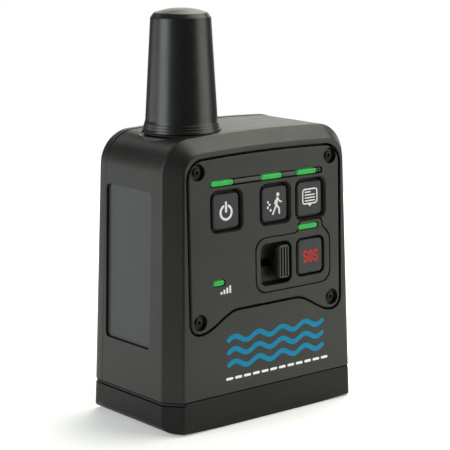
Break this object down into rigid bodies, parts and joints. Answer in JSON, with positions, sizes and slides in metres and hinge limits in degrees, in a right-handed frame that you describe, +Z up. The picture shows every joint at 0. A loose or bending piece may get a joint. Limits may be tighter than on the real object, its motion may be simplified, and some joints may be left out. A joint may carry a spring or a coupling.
{
  "type": "emergency position beacon",
  "caption": "Handheld emergency position beacon: keypad body with a tapered stub antenna, covered distress button with lock slider, and a removable base cap.",
  "frame": {"origin": "on the resting plane, under the middle of the body", "axes": "+Z up towards the antenna, -Y out of the keypad face, +X to the viewer's right when facing the keypad"},
  "size_m": [0.084, 0.046, 0.139],
  "materials": {
    "housing_plastic": "fine moulded texture, satin",
    "bezel_plastic": "fine moulded texture, satin",
    "seal_rubber": "matt silicone",
    "keytop_rubber": "slate grey silicone, satin",
    "radome_plastic": "satin",
    "lens_green": "translucent, lit green",
    "label_film": "smooth film",
    "inner_plastic": "moulded, satin",
    "black_steel": "black oxide",
    "bright_steel": "nickel plated",
    "shield_can": "tinned, satin",
    "brass": "turned",
    "copper": "plated strip",
    "coax_jacket": "smooth jacket",
    "board_laminate": "solder mask",
    "ceramic": "fired ceramic",
    "cell_wrap": "printed film"
  },
  "bodies": {
    "housing": {"main_housing": "housing_plastic", "back_cover": "housing_plastic", "keypad_bezel": "bezel_plastic", "sos_insert": "bezel_plastic", "base_gasket": "seal_rubber", "bezel_gasket": "seal_rubber", "keypad_membrane": "seal_rubber", "antenna_seal": "seal_rubber", "antenna_cover": "radome_plastic", "power_led_lens": "lens_green", "track_led_lens": "lens_green", "message_led_lens": "lens_green", "sos_led_lens": "lens_green", "signal_led_lens": "lens_green", "left_label_pad": "label_film", "right_label_pad": "label_film", "led_bar": "inner_plastic", "slide_switch": "inner_plastic", "antenna_former": "inner_plastic", "battery_tray": "inner_plastic", "back_screw_upper_left": "black_steel", "back_screw_upper_right": "black_steel", "back_screw_lower_left": "black_steel", "back_screw_lower_right": "black_steel", "bezel_screw_upper_left": "black_steel", "bezel_screw_upper_right": "black_steel", "bezel_screw_lower_left": "black_steel", "bezel_screw_lower_right": "black_steel", "tray_contact_1": "bright_steel", "tray_contact_2": "bright_steel", "power_dome": "bright_steel", "track_dome": "bright_steel", "message_dome": "bright_steel", "sos_dome": "bright_steel", "satellite_modem": "shield_can", "antenna_nut": "brass", "lock_insert": "brass", "antenna_helix": "copper", "antenna_coax": "coax_jacket", "main_board": "board_laminate", "gps_patch_antenna": "ceramic", "power_led": "ceramic", "track_led": "ceramic", "message_led": "ceramic", "sos_led": "ceramic", "signal_led": "ceramic", "battery_cell_1": "cell_wrap", "battery_cell_2": "cell_wrap"},
    "power_key": {"power_button": "keytop_rubber"},
    "track_key": {"track_button": "keytop_rubber"},
    "message_key": {"message_button": "keytop_rubber"},
    "sos_key": {"sos_button": "keytop_rubber"},
    "lock_slide": {"lock_slider": "inner_plastic"},
    "cap": {"base_cap": "housing_plastic", "cap_contact_plate": "bright_steel", "cell_spring_1": "bright_steel", "cell_spring_2": "bright_steel"},
    "knob": {"lock_knob": "inner_plastic", "ring_pin": "black_steel"},
    "ring": {"lock_ring": "black_steel"}
  },
  "joints": [
    {"name": "power_press", "type": "slide", "parent": "housing", "child": "power_key", "axis": [0, 0.9997, -0.0264], "range_m": [0, 0.0006], "stiffness_N_per_m": 2500},
    {"name": "track_press", "type": "slide", "parent": "housing", "child": "track_key", "axis": [0, 0.9997, -0.0264], "range_m": [0, 0.0006], "stiffness_N_per_m": 2500},
    {"name": "message_press", "type": "slide", "parent": "housing", "child": "message_key", "axis": [0, 0.9997, -0.0264], "range_m": [0, 0.0006], "stiffness_N_per_m": 2500},
    {"name": "sos_press", "type": "slide", "parent": "housing", "child": "sos_key", "axis": [0, 0.9997, -0.0264], "range_m": [0, 0.0006], "stiffness_N_per_m": 2500},
    {"name": "sos_lock_slide", "type": "slide", "parent": "housing", "child": "lock_slide", "axis": [-1, 0, 0], "range_m": [0, 0.0046]},
    {"name": "base_cap_removal", "type": "slide", "parent": "housing", "child": "cap", "axis": [0, 0, -1], "range_m": [0, 0.025]},
    {"name": "lock_quarter_turn", "type": "hinge", "parent": "cap", "child": "knob", "pos_m": [0.024, 0.001, 0.003], "axis": [0, 0, 1], "range_deg": [0, 90]},
    {"name": "lock_ring_fold", "type": "hinge", "parent": "knob", "child": "ring", "pos_m": [0.024, 0.0052, 0.00125], "axis": [1, 0, 0], "range_deg": [0, 100]}
  ]
}
